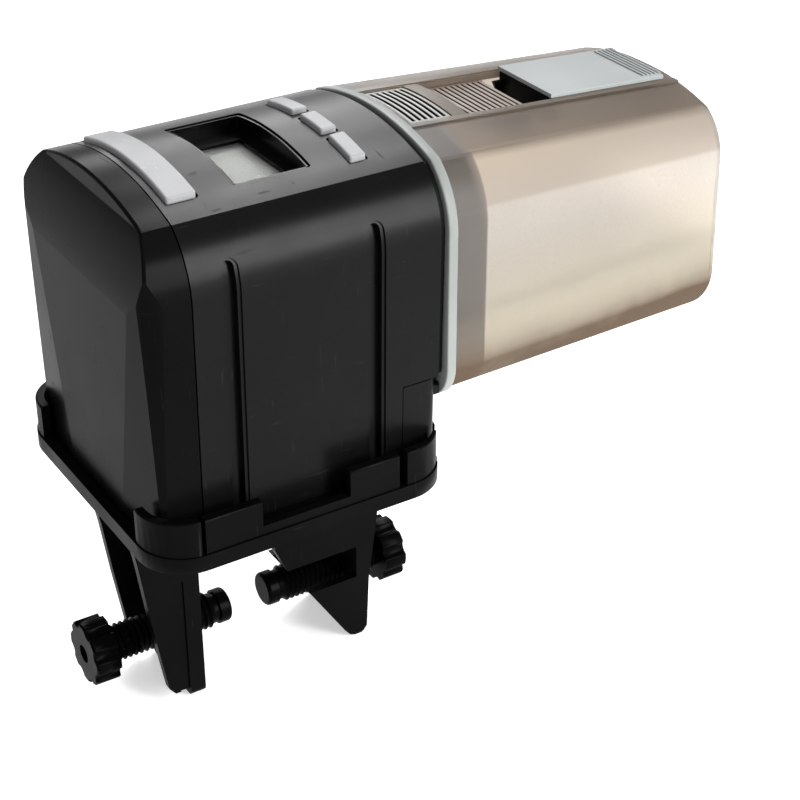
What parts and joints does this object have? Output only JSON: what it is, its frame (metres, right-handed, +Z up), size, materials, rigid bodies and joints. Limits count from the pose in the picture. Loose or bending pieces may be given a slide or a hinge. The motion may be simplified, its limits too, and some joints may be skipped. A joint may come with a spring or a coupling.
{
  "type": "automatic aquarium fish feeder",
  "caption": "Battery fish feeder: a black housing in a clamp bracket turns a smoke-clear food drum with a sliding feed gate.",
  "frame": {"origin": "on the bracket's underside, in the plane midway between its long sides, 40.3 mm from its rear edge", "axes": "+X along the drum towards its free end, +Z up, +Y towards the far side of the housing"},
  "size_m": [0.1688, 0.0792, 0.1447],
  "materials": {
    "bracket": "fine matte",
    "clamp_screw_left": "matte",
    "clamp_pad_left": "matte",
    "clamp_screw_right": "matte",
    "clamp_pad_right": "matte",
    "main_housing": "satin",
    "rear_cap": "satin",
    "battery_cover": "satin",
    "front_bulkhead": "matte",
    "bulkhead_screws": "bright",
    "display_bezel": "gloss",
    "display_window": "clear",
    "lcd_module": "pale grey",
    "feed_button": "satin",
    "set_button": "satin",
    "plus_button": "satin",
    "mode_button": "satin",
    "circuit_board": "solder mask",
    "button_switches": "matte",
    "board_screws": "bright",
    "battery_near": "printed sleeve",
    "battery_far": "printed sleeve",
    "battery_cradle": "matte",
    "battery_contacts": "nickel plated",
    "motor": "drawn can",
    "motor_shaft": "ground",
    "motor_pinion": "cut",
    "compound_gear": "natural acetal",
    "compound_axle": "ground",
    "output_gear": "natural acetal",
    "output_shaft": "ground",
    "gearbox_rear_plate": "matte",
    "gearbox_front_plate": "matte",
    "gearbox_screws": "bright",
    "shaft_bush": "sintered",
    "drive_hub": "matte",
    "drum_collar": "satin",
    "drum_shell": "smoke tint",
    "vent_grille": "satin",
    "metering_ramp": "smoke tint",
    "metering_wall": "matte",
    "feed_slider": "satin"
  },
  "bodies": {
    "bracket": {"bracket": "bracket"},
    "housing": {"main_housing": "main_housing", "rear_cap": "rear_cap", "battery_cover": "battery_cover", "front_bulkhead": "front_bulkhead", "bulkhead_screws": "bulkhead_screws", "display_bezel": "display_bezel", "display_window": "display_window", "lcd_module": "lcd_module", "circuit_board": "circuit_board", "button_switches": "button_switches", "board_screws": "board_screws", "battery_near": "battery_near", "battery_far": "battery_far", "battery_cradle": "battery_cradle", "battery_contacts": "battery_contacts", "motor": "motor", "compound_axle": "compound_axle", "gearbox_rear_plate": "gearbox_rear_plate", "gearbox_front_plate": "gearbox_front_plate", "gearbox_screws": "gearbox_screws", "shaft_bush": "shaft_bush"},
    "feed_button": {"feed_button": "feed_button"},
    "set_button": {"set_button": "set_button"},
    "plus_button": {"plus_button": "plus_button"},
    "mode_button": {"mode_button": "mode_button"},
    "drive": {"output_gear": "output_gear", "output_shaft": "output_shaft", "drive_hub": "drive_hub"},
    "compound_gear": {"compound_gear": "compound_gear"},
    "motor_rotor": {"motor_pinion": "motor_pinion", "motor_shaft": "motor_shaft"},
    "drum": {"drum_collar": "drum_collar", "drum_shell": "drum_shell", "vent_grille": "vent_grille", "metering_ramp": "metering_ramp", "metering_wall": "metering_wall"},
    "feed_slider": {"feed_slider": "feed_slider"},
    "left_pad": {"clamp_pad_left": "clamp_pad_left"},
    "left_screw": {"clamp_screw_left": "clamp_screw_left"},
    "right_pad": {"clamp_pad_right": "clamp_pad_right"},
    "right_screw": {"clamp_screw_right": "clamp_screw_right"}
  },
  "joints": [
    {"name": "housing_lift", "type": "slide", "parent": "bracket", "child": "housing", "axis": [0, 0, 1], "range_m": [0, 0.03]},
    {"name": "feed_button_press", "type": "slide", "parent": "housing", "child": "feed_button", "axis": [0, 0, -1], "range_m": [0, 0.0007], "stiffness_N_per_m": 400, "springref_m": -0.0008},
    {"name": "set_button_press", "type": "slide", "parent": "housing", "child": "set_button", "axis": [0, 0, -1], "range_m": [0, 0.0007], "stiffness_N_per_m": 400, "springref_m": -0.0008},
    {"name": "plus_button_press", "type": "slide", "parent": "housing", "child": "plus_button", "axis": [0, 0, -1], "range_m": [0, 0.0007], "stiffness_N_per_m": 400, "springref_m": -0.0008},
    {"name": "mode_button_press", "type": "slide", "parent": "housing", "child": "mode_button", "axis": [0, 0, -1], "range_m": [0, 0.0007], "stiffness_N_per_m": 400, "springref_m": -0.0008},
    {"name": "drum_turn", "type": "hinge", "parent": "housing", "child": "drive", "pos_m": [0.04, 0, 0.05], "axis": [1, 0, 0], "continuous": true},
    {"name": "compound_spin", "type": "hinge", "parent": "housing", "child": "compound_gear", "pos_m": [0.028, 0.01686, 0.05786], "axis": [1, 0, 0], "continuous": true},
    {"name": "motor_spin", "type": "hinge", "parent": "housing", "child": "motor_rotor", "pos_m": [0.026, 0.00179, 0.0619], "axis": [1, 0, 0], "continuous": true},
    {"name": "drum_pull", "type": "slide", "parent": "drive", "child": "drum", "axis": [1, 0, 0], "range_m": [0, 0.03]},
    {"name": "slider_feed", "type": "slide", "parent": "drum", "child": "feed_slider", "axis": [-0.9981, 0, 0.0611], "range_m": [0, 0.0232]},
    {"name": "left_pad_travel", "type": "slide", "parent": "bracket", "child": "left_pad", "axis": [1, 0, 0], "range_m": [-0.0105, 0.005]},
    {"name": "left_screw_turn", "type": "hinge", "parent": "left_pad", "child": "left_screw", "pos_m": [-0.03, 0, -0.0432], "axis": [1, 0, 0], "range_deg": [-2530, 1210]},
    {"name": "right_pad_travel", "type": "slide", "parent": "bracket", "child": "right_pad", "axis": [-1, 0, 0], "range_m": [-0.022, 0.005]},
    {"name": "right_screw_turn", "type": "hinge", "parent": "right_pad", "child": "right_screw", "pos_m": [0.03, 0, -0.0432], "axis": [-1, 0, 0], "range_deg": [-5290, 1210]}
  ],
  "couplings": [
    {"joint": "compound_spin", "follows": "drum_turn", "ratio": -4.1667},
    {"joint": "motor_spin", "follows": "drum_turn", "ratio": 13.889},
    {"joint": "left_screw_turn", "follows": "left_pad_travel", "rad_per_m": 4188.8},
    {"joint": "right_screw_turn", "follows": "right_pad_travel", "rad_per_m": 4188.8}
  ]
}
